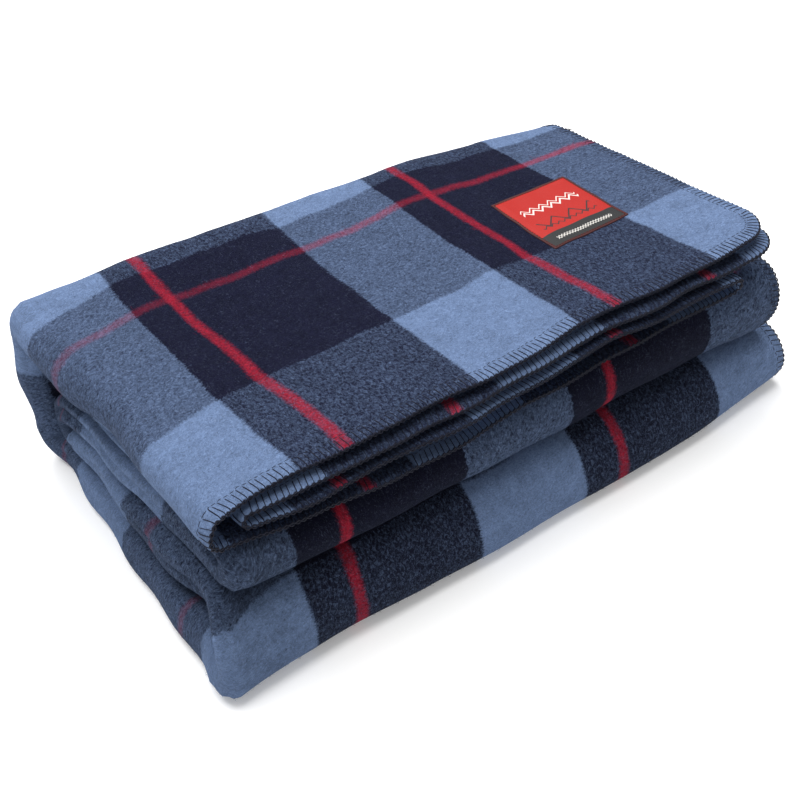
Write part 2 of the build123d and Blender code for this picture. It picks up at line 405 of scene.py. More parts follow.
# lengths along the cloth, in metres: u across from the right edge, v along from the hem
ACROSS = np.zeros_like(X)
ACROSS[:, 1:] = np.cumsum(np.linalg.norm(np.diff(POINTS, axis=1), axis=-1), axis=1)
start_gap = np.zeros_like(X)
start_gap[1:] = np.cumsum(np.linalg.norm(np.diff(POINTS, axis=0), axis=-1), axis=0)
ALONG = start_gap + (front_y - front_base)[None, :] * MM

# thickness: thinner where the overlock pulls the edges in, rounded at the very edge
right_gap = np.minimum(ACROSS, ACROSS[:, -1:] - ACROSS)
end_gap = start_gap[-1:] - start_gap
gap = np.minimum(np.minimum(right_gap, start_gap), end_gap)
pull = HEM_SHARE + (1 - HEM_SHARE) * smooth(gap / (HEM_W * 1.3 * MM))
rim = np.where(gap < RIM_R * MM, np.sqrt(np.clip(1 - (1 - gap / (RIM_R * MM)) ** 2, 0.02, 1)), 1.0)
THICKNESS = CLOTH_T * MM * pull * rim

# The plaid drifts a little against the edges, as cloth is never cut quite true, and the
# hidden panels take up the length that the model folds away. All four layers of a row
# carry the same weft, as they were folded together.
row_number = np.arange(ROW_COUNT)
row_marks = [row_bottom, first_row["front_low"], first_row["third"], first_row["front_mid"], ROW_COUNT - 1]
drift_u = np.interp(row_number, row_marks, [3, 20, 15, 10, 10])[:, None] * MM * smooth(ACROSS / 0.06)
stretch_u = np.interp(row_number, row_marks, [0.0, 0.02, 0.02, 0.01, 0.01])[:, None]
U_PLAID = ACROSS * (1 - stretch_u) - drift_u
# on the top panel the stripes wander by this much, in mm, at the front and at the back
stripe = np.array([0, 64, 167, 204, 302, 405, 442, 540, 2200]) * MM
stray_front = np.array([0, 19, 9, 8, 4, 3, 4, 4, 4]) * MM
stray_back = np.array([0, 14, 6, -3, -11, 0, -10, -8, -8]) * MM
top_rows = slice(0, row_bottom)
toward_back = np.clip(ALONG[top_rows] / 0.25, 0, 1)
top_front = np.interp(ACROSS[top_rows], stripe + stray_front, stripe)
top_back = np.interp(ACROSS[top_rows], stripe + stray_back, stripe)
fade_out = smooth((row_number[top_rows] - row_high) / (row_bottom - row_high))[:, None]
on_panel = top_front + (top_back - top_front) * toward_back
U_PLAID[top_rows] = on_panel + (U_PLAID[top_rows] - on_panel) * fade_out
last_first = int(np.where(col_kind == "first")[0][-1])
V_ROW = ALONG[:, last_first:last_first + 1] - ALONG[:1, last_first:last_first + 1]
V_ROW = np.where(np.arange(COL_COUNT)[None, :] <= last_first, ALONG, V_ROW + ALONG[:1])
# length hidden in the pack by the start of each stretch, in mm
HIDDEN = {"top": 0, "bottom": 0, "front_low": 43, "third": 43, "inner": 43, "fourth": 173, "front_mid": 173}
HIDDEN_AFTER_MIDDLE = 129
row_nose = first_row["fifth"] + 14
drift_rows = [first_row[k] for k in HIDDEN] + [row_nose]
drift_v = np.interp(row_number, drift_rows, [*HIDDEN.values(), HIDDEN_AFTER_MIDDLE])[:, None]
skewed = np.interp(row_number, [first_row["fourth"], first_row["front_mid"]], [0, 1])
skew_v = 30 * smooth((X - 60) / 170) - 14 * smooth((-60 - X) / 60) - 24 * smooth((-140 - X) / 70)
skew_v = skewed[:, None] * skew_v
corner_v = 9 * smooth((-180 - X) / 70) * (row_number < row_high)[:, None]
V_PLAID = V_ROW + (drift_v + skew_v + corner_v) * MM
# painted shade: from the low front fold on, and on the long folds at the left, the navy yarn covers more
# and turns deeper, standing in for the shade on these faces
PAINTED_SHADE = smooth((row_number - first_row["front_low"] + 8) / 8)[:, None]
PAINTED_SHADE = np.maximum(PAINTED_SHADE, 0.45 * (col_kind == "wrap")[None, :])
# painted shade: darker at the left, on all rows past the back turn, where the cloth faces away from the
# light
SHADED = smooth((row_number - row_bottom) / 20)[:, None] * smooth((-170 - X) / 70)
SHADED = SHADED * np.where(col_kind == "wrap", 0.12, 0.24)[None, :]
CLOTH_MAPS = np.stack([U_PLAID, V_PLAID, PAINTED_SHADE, SHADED], -1)


# ------------------------------------------------------------------------- materials
def new_material(name):
    """A material with only a Principled shader, and that shader."""
    m = bpy.data.materials.new(name)
    m.use_nodes = True
    nodes = m.node_tree.nodes
    nodes.clear()
    out = nodes.new("ShaderNodeOutputMaterial")
    shader = nodes.new("ShaderNodeBsdfPrincipled")
    m.node_tree.links.new(shader.outputs[0], out.inputs[0])
    return m, shader


class Wires:
    """Short names for the nodes of one material."""

    def __init__(self, material):
        self.tree = material.node_tree

    def node(self, kind, **settings):
        n = self.tree.nodes.new(kind)
        for key, value in settings.items():
            setattr(n, key, value)
        return n

    def plug(self, socket, value):
        if isinstance(value, bpy.types.NodeSocket):
            self.tree.links.new(value, socket)
        else:
            socket.default_value = value

    def math(self, op, *values, clamp=False):
        n = self.node("ShaderNodeMath", operation=op, use_clamp=clamp)
        for socket, value in zip(n.inputs, values):
            self.plug(socket, value)
        return n.outputs[0]

    def add(self, a, b, clamp=False):
        return self.math("ADD", a, b, clamp=clamp)

    def sub(self, a, b):
        return self.math("SUBTRACT", a, b)

    def mul(self, a, b, clamp=False):
        return self.math("MULTIPLY", a, b, clamp=clamp)

    def around(self, noise, mean, contrast):
        """A noise, centred on mean and scaled by contrast."""
        return self.math("MULTIPLY_ADD", self.sub(noise, 0.5), contrast, mean)

    def step(self, value, at, soft):
        """0 below at, 1 above it, smoothly over soft."""
        n = self.node("ShaderNodeMapRange", interpolation_type="SMOOTHSTEP")
        self.plug(n.inputs["Value"], value)
        n.inputs["From Min"].default_value = at - soft / 2
        n.inputs["From Max"].default_value = at + soft / 2
        return n.outputs[0]

    def band(self, value, low, high, soft):
        return self.sub(self.step(value, low, soft), self.step(value, high, soft))

    def noise(self, vector, scale, detail=2.0, rough=0.5, distortion=0.0):
        n = self.node("ShaderNodeTexNoise")
        self.plug(n.inputs["Vector"], vector)
        n.inputs["Scale"].default_value = scale
        n.inputs["Detail"].default_value = detail
        n.inputs["Roughness"].default_value = rough
        n.inputs["Distortion"].default_value = distortion
        return n.outputs[0]

    def mix(self, share, a, b):
        n = self.node("ShaderNodeMix", data_type="RGBA")
        self.plug(n.inputs[0], share)
        self.plug(n.inputs[6], a)
        self.plug(n.inputs[7], b)
        return n.outputs[2]

    def xyz(self, x, y, z=0.0):
        n = self.node("ShaderNodeCombineXYZ")
        self.plug(n.inputs[0], x)
        self.plug(n.inputs[1], y)
        self.plug(n.inputs[2], z)
        return n.outputs[0]

    def split(self, uv_map):
        """A UV map of the mesh, and its two coordinates."""
        whole = self.node("ShaderNodeUVMap", uv_map=uv_map).outputs[0]
        n = self.node("ShaderNodeSeparateXYZ")
        self.plug(n.inputs[0], whole)
        return whole, n.outputs[0], n.outputs[1]

    def wave(self, vector, direction, scale, distortion=0.0, detail=2.0, detail_scale=1.0):
        n = self.node("ShaderNodeTexWave", wave_type="BANDS", bands_direction=direction)
        self.plug(n.inputs["Vector"], vector)
        n.inputs["Scale"].default_value = scale
        n.inputs["Distortion"].default_value = distortion
        n.inputs["Detail"].default_value = detail
        n.inputs["Detail Scale"].default_value = detail_scale
        return n.outputs["Fac"]

    def bump(self, shader, height, strength, distance):
        n = self.node("ShaderNodeBump")
        n.inputs["Strength"].default_value = strength
        n.inputs["Distance"].default_value = distance
        self.plug(n.inputs["Height"], height)
        self.plug(shader.inputs["Normal"], n.outputs[0])


def srgb(r, g, b):
    """Linear RGBA of a screen colour from 0 to 255."""
    def f(c):
        c /= 255
        return c / 12.92 if c <= 0.04045 else ((c + 0.055) / 1.055) ** 2.4
    return (f(r), f(g), f(b), 1.0)


def wool():
    """Napped wool plaid, from the flat coordinates of the cloth."""
    m, shader = new_material("wool_plaid")
    w = Wires(m)
    flat, u, v = w.split("flat")

    def grain(along_u, along_v, seed, scale, detail, rough, distortion=0.0):
        """A noise of the flat cloth, drawn out less along u or v the larger their numbers."""
        where = w.xyz(w.mul(u, along_u), w.mul(v, along_v), seed)
        return w.noise(where, scale, detail, rough, distortion)

    drift = w.noise(flat, 26.0, 2.0)
    drift2 = w.noise(w.xyz(v, u, 3.1), 24.0, 2.0)
    strand = grain(2.4, 1.0, 0.0, 330.0, 4.0, 0.7)
    strand2 = grain(1.0, 2.4, 5.0, 330.0, 4.0, 0.7)

    def moved(value, slow, quick):
        """The coordinate, wandering slowly and frayed by single yarns."""
        return w.around(quick, w.around(slow, value, 0.006), 0.0075)

    um, vm = moved(u, drift, strand2), moved(v, drift2, strand)

    def bands(value, first, repeat, dark, red, red_w):
        t = w.math("FLOORED_MODULO", w.sub(value, first), repeat)
        started = w.step(value, first - 0.0005, 0.001)
        navy = w.mul(w.band(t, 0.0012, dark, 0.0030), started)
        line = w.mul(w.band(t, red - red_w / 2, red + red_w / 2, 0.0046), started)
        return navy, line

    warp_navy, warp_red = bands(um, *WARP)
    weft_navy, weft_red = bands(vm, *WEFT)
    # dark yarn covers most of the pale one where they cross, in tufts of nap
    tuft = grain(1.4, 1.0, 9.0, 400.0, 5.0, 0.78, 0.9)
    tuft2 = grain(1.0, 1.4, 4.0, 400.0, 5.0, 0.78, 0.9)

    # the lie map carries the painted shade: fuller, deeper navy on the front folds and the left end, and
    # darkening at the left
    lie, painted_shade, shaded = w.split("lie")
    # painted shade: more navy cover, and a deeper navy, where the painted-shade factor is up
    more = w.mul(painted_shade, 0.09)
    dark = w.add(w.mul(warp_navy, w.add(w.around(tuft, 0.83, 2.2), more)),
                 w.mul(weft_navy, w.add(w.around(tuft2, 0.56, 2.2), more)), clamp=True)
    navy = w.mix(painted_shade, NAVY_COLOUR, NAVY_IN_PAINTED_SHADE)
    colour = w.mix(dark, LIGHT_COLOUR, navy)
    fade = w.math("MULTIPLY_ADD", w.math("MINIMUM", u, 0.5), -0.75, 0.58)
    colour = w.mix(w.mul(w.mul(weft_red, fade), w.around(tuft, 0.9, 1.6), clamp=True),
                   colour, RED_COLOUR)
    colour = w.mix(w.mul(warp_red, w.around(tuft2, 0.64, 2.3), clamp=True), colour, RED_COLOUR)
    # nap: pale and dark fibres, and cloudy patches where it was brushed
    cloud = grain(1.0, 1.0, 2.0, 36.0, 3.0, 0.6)
    fibre = grain(1.0, 1.6, 7.0, 520.0, 5.0, 0.8, 1.1)
    bright = w.node("ShaderNodeHueSaturation")
    w.plug(bright.inputs["Color"], colour)
    value = w.add(w.mul(cloud, 0.35), w.mul(fibre, 2.50))
    clump = grain(0.8, 1.0, 8.0, 130.0, 3.0, 0.65, 0.8)
    value = w.add(value, w.mul(clump, 0.70))
    # painted shade: the brightness drops by the shaded factor at the left
    w.plug(bright.inputs["Value"], w.sub(w.add(value, -0.79), shaded))
    hair = grain(0.5, 1.0, 1.0, 620.0, 5.0, 0.8, 1.8)
    hair2 = grain(1.0, 0.5, 6.0, 620.0, 5.0, 0.8, 1.8)
    pale = w.mul(w.step(w.math("MAXIMUM", hair, hair2), 0.62, 0.12),
                 w.sub(0.34, w.mul(dark, 0.23)))
    w.plug(shader.inputs["Base Color"], w.mix(pale, bright.outputs[0], PALE_FIBRE))
    shader.inputs["Roughness"].default_value = 0.95
    shader.inputs["Specular IOR Level"].default_value = 0.05
    shader.inputs["Sheen Weight"].default_value = 0.045
    shader.inputs["Sheen Roughness"].default_value = 0.45
    shader.inputs["Sheen Tint"].default_value = (0.52, 0.66, 1.0, 1.0)
    # relief: brushed fibre over a soft twill rib
    rib = w.wave(w.xyz(u, w.mul(v, 1.6)), "DIAGONAL", 62.0, 2.2, 2.0, 1.6)
    relief = w.add(w.mul(fibre, 0.80), w.mul(strand, 0.45))
    relief = w.add(relief, w.mul(rib, 0.08))
    relief = w.add(relief, w.mul(cloud, 1.0))
    w.bump(shader, relief, 0.8, 1.6 * MM)
    return m


LIGHT_COLOUR = srgb(97, 116, 149)
NAVY_COLOUR = srgb(17, 18, 37)
# deeper navy used for the painted shade on the front folds and the left end
NAVY_IN_PAINTED_SHADE = srgb(11, 12, 28)
RED_COLOUR = srgb(150, 24, 42)
PALE_FIBRE = srgb(150, 166, 200)
WOOL = wool()


def thread_material(name, colour, shine):
    """Twisted sewing thread."""
    m, shader = new_material(name)
    w = Wires(m)
    flat = w.split("thread")[0]
    twist = w.wave(flat, "DIAGONAL", 0.9, 0.6)
    grain = w.noise(flat, 3.0, 2.0)
    deep = tuple(c * 0.45 for c in colour[:3]) + (1.0,)
    w.plug(shader.inputs["Base Color"], w.mix(w.mul(twist, grain), deep, colour))
    shader.inputs["Roughness"].default_value = 0.62
    shader.inputs["Specular IOR Level"].default_value = shine
    w.bump(shader, twist, 0.5, 0.2 * MM)
    return m


OVERLOCK = thread_material("overlock_thread", srgb(22, 27, 50), 0.25)


# ------------------------------------------------------------------------ cloth pieces
def add_mesh(name, vertices, faces, **maps):
    """A smooth-shaded mesh object; maps are its UV maps by name, one pair per vertex."""
    mesh = bpy.data.meshes.new(name)
    mesh.from_pydata(vertices.tolist(), [], faces)
    loops = np.zeros(len(mesh.loops), np.int32)
    mesh.loops.foreach_get("vertex_index", loops)
    for map_name, uvs in maps.items():
        layer_uv = mesh.uv_layers.new(name=map_name)
        layer_uv.data.foreach_set("uv", np.asarray(uvs, np.float32)[loops].ravel())
    mesh.polygons.foreach_set("use_smooth", np.ones(len(mesh.polygons), bool))
    mesh.update()
    o = bpy.data.objects.new(name, mesh)
    bpy.context.scene.collection.objects.link(o)
    return o


def sheet_faces(rows_here, columns_here):
    """Faces of a closed sheet: a grid of vertices for its outer face, then one for its inner."""
    count = rows_here * columns_here
    index = np.arange(count).reshape(rows_here, columns_here)
    a, b, c, d = index[:-1, :-1], index[:-1, 1:], index[1:, 1:], index[1:, :-1]
    outer = np.stack([a, b, c, d], -1).reshape(-1, 4)
    inner = np.stack([a, d, c, b], -1).reshape(-1, 4) + count
    ring = np.concatenate([index[0, :], index[1:, -1], index[-1, -2::-1], index[-2:0:-1, 0]])
    after = np.roll(ring, -1)
    rim_faces = np.stack([after, ring, ring + count, after + count], -1)
    return np.concatenate([outer, inner, rim_faces])


def tube_faces(count, points, sides):
    """Side faces and end faces of closed tubes, each a run of rings of vertices."""
    index = np.arange(count * points * sides).reshape(count, points, sides)
    turned = np.roll(index, -1, axis=2)
    quads = np.stack([index[:, :-1], turned[:, :-1], turned[:, 1:], index[:, 1:]], -1).reshape(-1, 4)
    return quads, np.concatenate([index[:, 0, ::-1], index[:, -1]])


def nap(first, last, count):
    """Loose fibres standing off the outer face: vertices, faces, uvs and normals."""
    local = np.random.default_rng(first + 11)
    # more of them on the folds that face the viewer and round the left end
    names_here = np.array(row_name[first:last])
    shown = np.isin(names_here, ["top", "high", "wall", "low", "front_low", "front_mid"]).astype(float)
    shown += np.isin(names_here, ["third", "fifth"]) * (row_share[first:last] < 0.25)
    weight = np.where(np.isin(col_kind[:-1], ["first_edge", "first"]), 1.0, 0.0)[None, :] * shown[:, None]
    weight = np.where((col_kind[:-1] == "wrap")[None, :], 1.5, weight)
    weight = weight * (1 + np.isin(names_here, ["front_low", "front_mid"])[:, None])
    a = POINTS[first:last, 1:] - POINTS[first:last, :-1]
    b = POINTS[first + 1:last + 1, :-1] - POINTS[first:last, :-1]
    weight = weight * np.linalg.norm(np.cross(a, b), axis=-1)
    pick = local.choice(weight.size, count, p=(weight / weight.sum()).ravel())
    j, i = pick // weight.shape[1], pick % weight.shape[1]
    # none under the label or against the floor; sizes in mm
    at = POINTS[first + j, i] / MM
    on_label = np.maximum(abs(at[:, 0] - LABEL_X), abs(at[:, 1] - LABEL_Y)) < LABEL_SIZE / 2 + 5
    keep = (at[:, 2] > 7) & ~(on_label & (at[:, 2] > 100))
    j, i = j[keep], i[keep]
    count = len(j)
    sides = 3
    fj, fi = local.uniform(0, 1, count)[:, None], local.uniform(0, 1, count)[:, None]
    root = POINTS[first + j, i] + a[j, i] * fi + b[j, i] * fj
    n = NORMALS[first + j, i]
    root = root + n * (THICKNESS[first + j, i][:, None] / 2 - 0.15 * MM)
    side = unit(a[j, i])
    other = np.cross(n, side)
    turn = local.uniform(0, 2 * math.pi, count)[:, None]
    lie = side * np.cos(turn) + other * np.sin(turn)
    lean_off = local.normal(0, 0.5, count)[:, None]
    curl = np.cross(n, lie) * lean_off
    length = local.uniform(*FIBRE_LENGTH, count)[:, None] * MM
    points = np.stack([root, root + (lie * 0.5 + n * 0.26) * length,
                       root + (lie * 0.95 + n * 0.30 + curl * 0.5) * length], 1)
    radius = np.array(FIBRE_RADII)[None, :, None] * MM * local.uniform(0.8, 1.3, count)[:, None, None]
    across = np.cross(n, lie)
    angles = np.arange(sides) * (2 * math.pi / sides)
    ring = np.cos(angles)[:, None] * across[:, None, :] + np.sin(angles)[:, None] * n[:, None, :]
    vertices = points[:, :, None, :] + ring[:, None, :, :] * radius[:, :, :, None]
    normals = np.broadcast_to(ring[:, None], vertices.shape).reshape(-1, 3)
    uvs = np.repeat(CLOTH_MAPS[first + j, i], 3 * sides, axis=0)
    return vertices.reshape(-1, 3), tube_faces(count, 3, sides), uvs, normals


def cloth_piece(name, first, last, fibres):
    """Rows first to last of the blanket as one closed sheet of cloth."""
    p, nrm, t = POINTS[first:last + 1], NORMALS[first:last + 1], THICKNESS[first:last + 1, :, None]
    r, c = p.shape[:2]
    outer, inner = p + nrm * t / 2, p - nrm * t / 2
    vertices = np.concatenate([outer.reshape(-1, 3), inner.reshape(-1, 3)])
    uv = CLOTH_MAPS[first:last + 1].reshape(-1, 4)
    uvs = np.concatenate([uv, uv])
    normals = np.concatenate([nrm.reshape(-1, 3), -nrm.reshape(-1, 3)])
    faces = sheet_faces(r, c)
    # which way round: the outer faces look along the normals
    sample = faces[(r - 1) * (c - 1) // 3]
    v0, v1, v2 = vertices[sample[:3]]
    if np.dot(np.cross(v1 - v0, v2 - v0), normals[sample[0]]) < 0:
        faces = faces[:, ::-1]
    faces = faces.tolist()
    hair_v, hair_faces, hair_uv, hair_n = nap(first, last, fibres)
    for hair_face in hair_faces:
        faces += (hair_face + len(vertices)).tolist()
    vertices = np.concatenate([vertices, hair_v])
    uvs, normals = np.concatenate([uvs, hair_uv]), np.concatenate([normals, hair_n])
    # the lie map holds the two painted-shade factors
    o = add_mesh(name, vertices, faces, flat=uvs[:, :2], lie=uvs[:, 2:])
    o.data.normals_split_custom_set_from_vertices(normals.tolist())
    o.data.materials.append(WOOL)
    return o


# the last number is how many loose fibres are tried
cloth_top = cloth_piece("cloth_top", 0, row_high, 6500)
cloth_high = cloth_piece("cloth_high_corner", row_high, row_wall_middle, 1300)
cloth_low = cloth_piece("cloth_low_corner", row_wall_middle, row_bottom, 1000)
cloth_stack = cloth_piece("cloth_stack", row_bottom, ROW_COUNT - 1, 8000)


# --------------------------------------------------------------------- overlock thread
def tubes(name, paths, refs, radii, sides=6, uv_scale=1000.0):
    """Round threads along paths (count, points, 3). refs (same shape) are directions
    roughly across each path; radii (count,) or (count, points)."""
    paths, refs = np.asarray(paths, float), np.asarray(refs, float)
    k, m = paths.shape[:2]
    radii = np.broadcast_to(np.asarray(radii, float).reshape(k, -1), (k, m))
    tangent = unit(np.gradient(paths, axis=1))
    e1 = unit(refs - (refs * tangent).sum(-1, keepdims=True) * tangent)
    e2 = np.cross(tangent, e1)
    a = np.arange(sides) * (2 * math.pi / sides)
    ring = (np.cos(a)[None, None, :, None] * e1[:, :, None, :]
            + np.sin(a)[None, None, :, None] * e2[:, :, None, :])
    vertices = (paths[:, :, None, :] + ring * radii[:, :, None, None]).reshape(-1, 3)
    steps = np.linalg.norm(np.diff(paths, axis=1), axis=-1)
    along = np.concatenate([np.zeros((k, 1)), np.cumsum(steps, axis=1)], 1)
    uv = np.stack([np.broadcast_to((along * uv_scale)[:, :, None], (k, m, sides)),
                   np.broadcast_to(a[None, None, :], (k, m, sides))], -1).reshape(-1, 2)
    quads, caps = tube_faces(k, m, sides)
    return add_mesh(name, vertices, quads.tolist() + caps.tolist(), thread=uv)


def join(name, parts):
    """One object from several."""
    with bpy.context.temp_override(active_object=parts[0], object=parts[0], selected_objects=parts,
                                   selected_editable_objects=parts):
        bpy.ops.object.join()
    parts[0].name = name
    parts[0].data.name = name
    return parts[0]


def overlock(name, rows, columns, deep_rows, deep_columns):
    """Overlock stitches along one edge of the cloth: slanted bars over both faces, a
    looped chain on the edge and a line of needle stitches. The edge is POINTS[rows, columns];
    deep_rows and deep_columns pick the cloth beside it."""
    edge, normal = POINTS[rows, columns].reshape(-1, 3), NORMALS[rows, columns].reshape(-1, 3)
    near_p = POINTS[deep_rows, deep_columns].reshape(-1, 3)
    near_n = NORMALS[deep_rows, deep_columns].reshape(-1, 3)
    near_t = THICKNESS[deep_rows, deep_columns].ravel()
    tree = KDTree(len(near_p))
    for index, point in enumerate(near_p):
        tree.insert(point, index)
    tree.balance()
    step = np.linalg.norm(np.diff(edge, axis=0), axis=1)
    keep = np.concatenate([[True], step > 1e-6])
    edge, normal = edge[keep], normal[keep]
    s_edge = np.concatenate([[0], np.cumsum(np.linalg.norm(np.diff(edge, axis=0), axis=1))])

    def at(values, s):
        return np.stack([np.interp(s, s_edge, values[:, c]) for c in range(3)], -1)

    tangent_all = unit(np.gradient(edge, s_edge, axis=0))
    inward_all = unit(np.cross(normal, tangent_all))
    half = len(edge) // 2
    inner = near_p[[tree.find_n(Vector(edge[half]), 30)[-1][1]]][0]
    if np.dot(inward_all[half], inner - edge[half]) < 0:
        inward_all = -inward_all
    local = np.random.default_rng(len(edge) + int(abs(edge[0, 0]) * 1000))
    count = max(2, int(s_edge[-1] / (STITCH_PITCH * MM)))
    s = (np.arange(count) + 0.5) * s_edge[-1] / count
    s = s + local.normal(0, 0.22 * MM, count)

    def place(s_at, inward, side, lift):
        """Points beside the cloth: distance along, distance in from the edge, face (1 or
        -1) and height over that face."""
        base, way = at(edge, s_at), at(inward_all, s_at)
        out = base + way * inward[:, None]
        for q in range(len(out)):
            if inward[q] <= 0:
                continue
            total, height, push = 0.0, 0.0, np.zeros(3)
            thick = 0.0
            for _, index, distance in tree.find_n(Vector(out[q]), 4):
                weight = 1 / (distance * distance + 1e-8)
                total += weight
                push += near_n[index] * weight
                height += weight * np.dot(out[q] - near_p[index], near_n[index])
                thick += weight * near_t[index]
            push /= np.linalg.norm(push)
            edge_round = math.sqrt(max(0.05, 1 - max(0.0, 1 - inward[q] / (RIM_R * MM)) ** 2))
            half_t = max(thick / total, CLOTH_T * MM * HEM_SHARE) * edge_round / 2
            out[q] += push * (side * (half_t + lift) - height / total)
        return out

    bite = HEM_W * MM * (1 + local.normal(0, 0.05, count))
    slant = 2.4 * MM + local.normal(0, 0.25 * MM, count)
    flat_s = np.zeros(count)
    upper, lower = [], []
    for share in (1.0, 0.75, 0.5, 0.25, 0.08):
        lift = (0.12 if share < 1 else -0.5) * MM
        upper.append(place(s + slant * share ** 1.2, bite * share, 1, lift))
        lower.append(place(s + slant * 0.9 * share ** 1.2, bite * share, -1, lift))
    tip = place(s, flat_s - 0.5 * MM, 0, 0)
    bars = np.stack(upper + [tip] + lower[::-1], 1)
    refs = np.repeat(at(tangent_all, s)[:, None], bars.shape[1], 1)
    parts = [tubes(name + "_bars", bars, refs, BAR_R * MM * (1 + local.normal(0, 0.10, count)), 5)]
    # the chain that lies on the very edge
    per = 6
    n_chain = count * per + 1
    sc = np.linspace(0, s_edge[-1], n_chain)
    phase = np.arange(n_chain) * (2 * math.pi / per)
    for side, turn in ((1, 0.0), (-1, math.pi)):
        out = -0.40 * MM + 0.35 * MM * np.cos(phase + turn)
        chain = at(edge, sc) + at(inward_all, sc) * out[:, None]
        chain += at(normal, sc) * (side * 0.75 * MM + 0.5 * MM * np.sin(phase + turn))[:, None]
        parts.append(tubes(name + f"_chain{side + 1}", chain[None], at(normal, sc)[None],
                           CHAIN_R * MM + 0.12 * MM * np.sin(phase)[None], 6))
    # needle stitches where the bars end
    per = 5
    n_needle = count * per + 1
    sn = np.linspace(0.001, s_edge[-1] - 0.001, n_needle)
    dip = np.maximum(0, np.cos(np.arange(n_needle) * (2 * math.pi / per)))
    bite_n = np.interp(sn, s, bite)
    for side in (1, -1):
        needle = place(sn, bite_n, side, 0.0)
        needle = needle - at(normal, sn) * (side * 0.55 * MM * dip)[:, None]
        parts.append(tubes(name + f"_needle{side + 1}", needle[None], at(inward_all, sn)[None],
                           np.full((1, n_needle), NEEDLE_R * MM), 5))
    for part in parts:
        part.data.materials.append(OVERLOCK)
    return join(name, parts)


last = COL_COUNT - 1
DEPTH = 26
front_hem = overlock("overlock_front_edge", 0, slice(0, None), slice(0, 14), slice(0, None))
far_hem = overlock("overlock_far_edge", -1, slice(0, None), slice(-14, None), slice(0, None))
side_hems = {}
for side, column, deep in (("first", 0, slice(0, DEPTH)), ("second", last, slice(last - DEPTH, None))):
    for part, a, b in (("top", 0, row_high), ("high", row_high, row_wall_middle),
                       ("low", row_wall_middle, row_bottom), ("stack", row_bottom, ROW_COUNT - 1)):
        rows_here = slice(a, b + 1)
        side_hems[side, part] = overlock(f"overlock_{side}_{part}", rows_here, column, rows_here, deep)


# -------------------------------------------------------------------------- woven label
first_columns = np.where(np.isin(col_kind, ["first_edge", "first"]))[0]
FACE = POINTS + NORMALS * THICKNESS[..., None] / 2


def on_top(x, y, lift):
    """A point on the outer face of the top layer, at x and y in metres, raised by lift."""
    rows_top = np.arange(0, row_high + 1)
    fj, fi = 20.0, 60.0
    for _ in range(6):
        j = int(fj)
        xs = FACE[j, first_columns, 0] * (1 - fj + j) + FACE[j + 1, first_columns, 0] * (fj - j)
        fi = np.interp(-x, -xs, first_columns)
        i = int(fi)
        ys = FACE[rows_top, i, 1] * (1 - fi + i) + FACE[rows_top, i + 1, 1] * (fi - i)
        fj = min(np.interp(y, ys, rows_top), row_high - 1.001)
    i, j = int(fi), int(fj)
    a, b = fi - i, fj - j

    def between(grid):
        near = grid[j, i] * (1 - a) + grid[j, i + 1] * a
        far = grid[j + 1, i] * (1 - a) + grid[j + 1, i + 1] * a
        return near * (1 - b) + far * b

    return between(FACE) + between(NORMALS) * lift


def label_surface():
    """The label and the thread round it, both following the cloth."""
    n = 48
    half_mm = LABEL_SIZE / 2
    half = half_mm * MM
    seam = 0.945             # where the stitches lie, as a share of half the label
    grid = np.linspace(-1, 1, n + 1)
    ripple = Ripple(half_mm, dims=2)
    outer_face, inner_face, uv = [], [], []
    for b in grid:
        for a in grid:
            # corners a little rounded, sides very slightly waved where they are sewn down
            round_off = 1 - 0.012 * (a * a * b * b)
            x = LABEL_X * MM + a * half * round_off + 0.25 * MM * math.sin(b * 9 + 1)
            y = LABEL_Y * MM + b * half * round_off + 0.25 * MM * math.sin(a * 8)
            rim_near = max(abs(a), abs(b))
            puff = 0.50 * MM * (1 - smooth(np.array((rim_near - 0.80) / 0.14)))
            stitched = 0.35 * MM * math.exp(-((rim_near - seam) / 0.018) ** 2)
            height = 0.80 * MM + puff * (0.6 + 0.4 * ripple(a * half_mm, b * half_mm)) - stitched
            outer_face.append(on_top(x, y, height))
            inner_face.append(on_top(x, y, -0.2 * MM))
            uv.append(((a + 1) / 2, (b + 1) / 2))
    vertices = np.array(outer_face + inner_face)
    o = add_mesh("woven_label", vertices, sheet_faces(n + 1, n + 1).tolist(), label=uv + uv)
    # running stitches just inside the edge
    inset = half * seam
    corners = [(-1, -1), (1, -1), (1, 1), (-1, 1), (-1, -1)]
    stitches, refs = [], []
    per_side = 26
    for (ax, ay), (bx, by) in zip(corners[:-1], corners[1:]):
        for k in range(per_side):
            t0, t1 = (k + 0.12) / per_side, (k + 0.80) / per_side
            points = []
            for t in np.linspace(t0, t1, 5):
                q = (t - t0) / (t1 - t0)
                x = LABEL_X * MM + (ax + (bx - ax) * t) * inset
                y = LABEL_Y * MM + (ay + (by - ay) * t) * inset
                points.append(on_top(x, y, 0.52 * MM + 0.40 * MM * math.sin(math.pi * q) ** 0.5))
            stitches.append(points)
            refs.append([(0, 0, 1)] * 5)
    sewn = tubes("label_stitches", stitches, refs, np.full(len(stitches), SEWING_R * MM), 5)
    return o, sewn


label_piece, label_sewing = label_surface()


